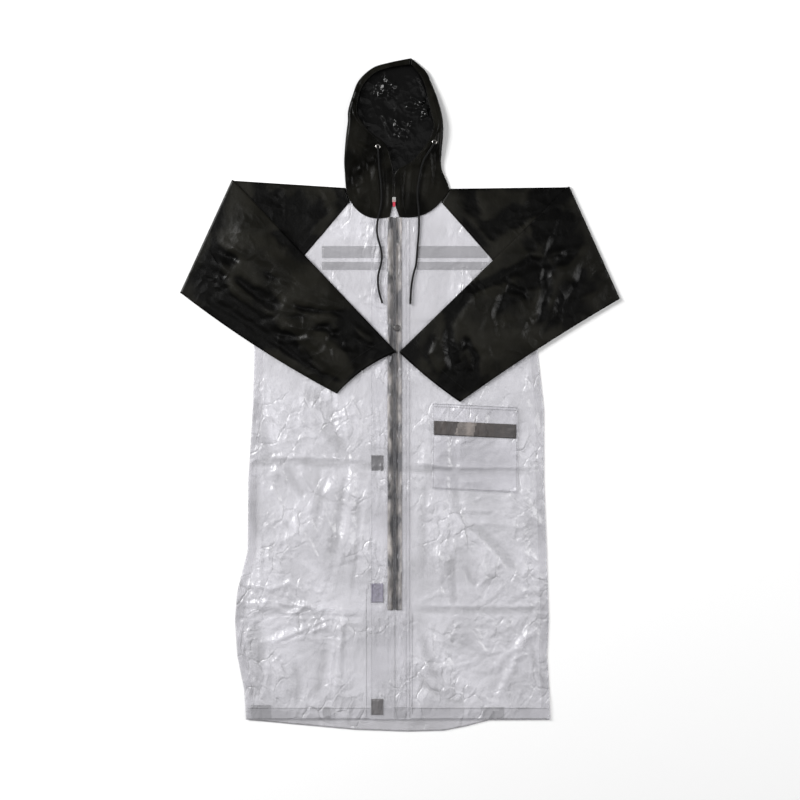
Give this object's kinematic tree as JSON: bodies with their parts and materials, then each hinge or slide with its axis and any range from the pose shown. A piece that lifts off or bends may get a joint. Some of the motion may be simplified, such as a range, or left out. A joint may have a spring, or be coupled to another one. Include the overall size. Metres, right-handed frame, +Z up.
{
  "type": "raincoat",
  "caption": "Long hooded raincoat of clear film with black sleeves and hood, laid flat on its back, its sleeves folded across the chest.",
  "frame": {"origin": "middle of the coat's bounding box, on the surface it lies on", "axes": "+X to the wearer's left, +Y from the hem to the hood, +Z up from the surface"},
  "size_m": [0.9976, 1.5278, 0.0232],
  "materials": {
    "film": "glossy clear film, creased",
    "snap_plastic": "glossy clear plastic",
    "black_cloth": "coated nylon, semi-gloss",
    "cord": "braided polyester",
    "grey_tape": "hook-and-loop tape",
    "zip_tape": "woven polyester tape",
    "zip_teeth": "moulded coil",
    "steel": "nickel-plated",
    "red_pull": "red enamel"
  },
  "bodies": {
    "coat": {"back_panel": "film", "back_hem": "film", "storm_flap": "film", "front_right": "film", "front_left": "film", "front_hem_right": "film", "front_hem_left": "film", "pocket_bag": "film", "pocket_flap": "film", "snap": "snap_plastic", "sleeve_right_front": "black_cloth", "sleeve_right_back": "black_cloth", "sleeve_left_front": "black_cloth", "sleeve_left_back": "black_cloth", "hood_right": "black_cloth", "hood_left": "black_cloth", "hood_back": "black_cloth", "drawstring_right": "cord", "drawstring_left": "cord", "patch_waist": "grey_tape", "patch_knee": "grey_tape", "patch_hem": "grey_tape", "pocket_tape": "grey_tape", "zip_tape_right": "zip_tape", "zip_tape_left": "zip_tape", "zip_chain": "zip_teeth", "eyelet_right": "steel", "eyelet_left": "steel", "zip_slider": "steel"},
    "zip_pull": {"zip_pull": "red_pull"}
  },
  "joints": [
    {"name": "zip_pull_hinge", "type": "hinge", "parent": "coat", "child": "zip_pull", "pos_m": [-0.0135, 0.4414, 0.0083], "axis": [-1, 0, 0], "range_deg": [0, 140]}
  ]
}
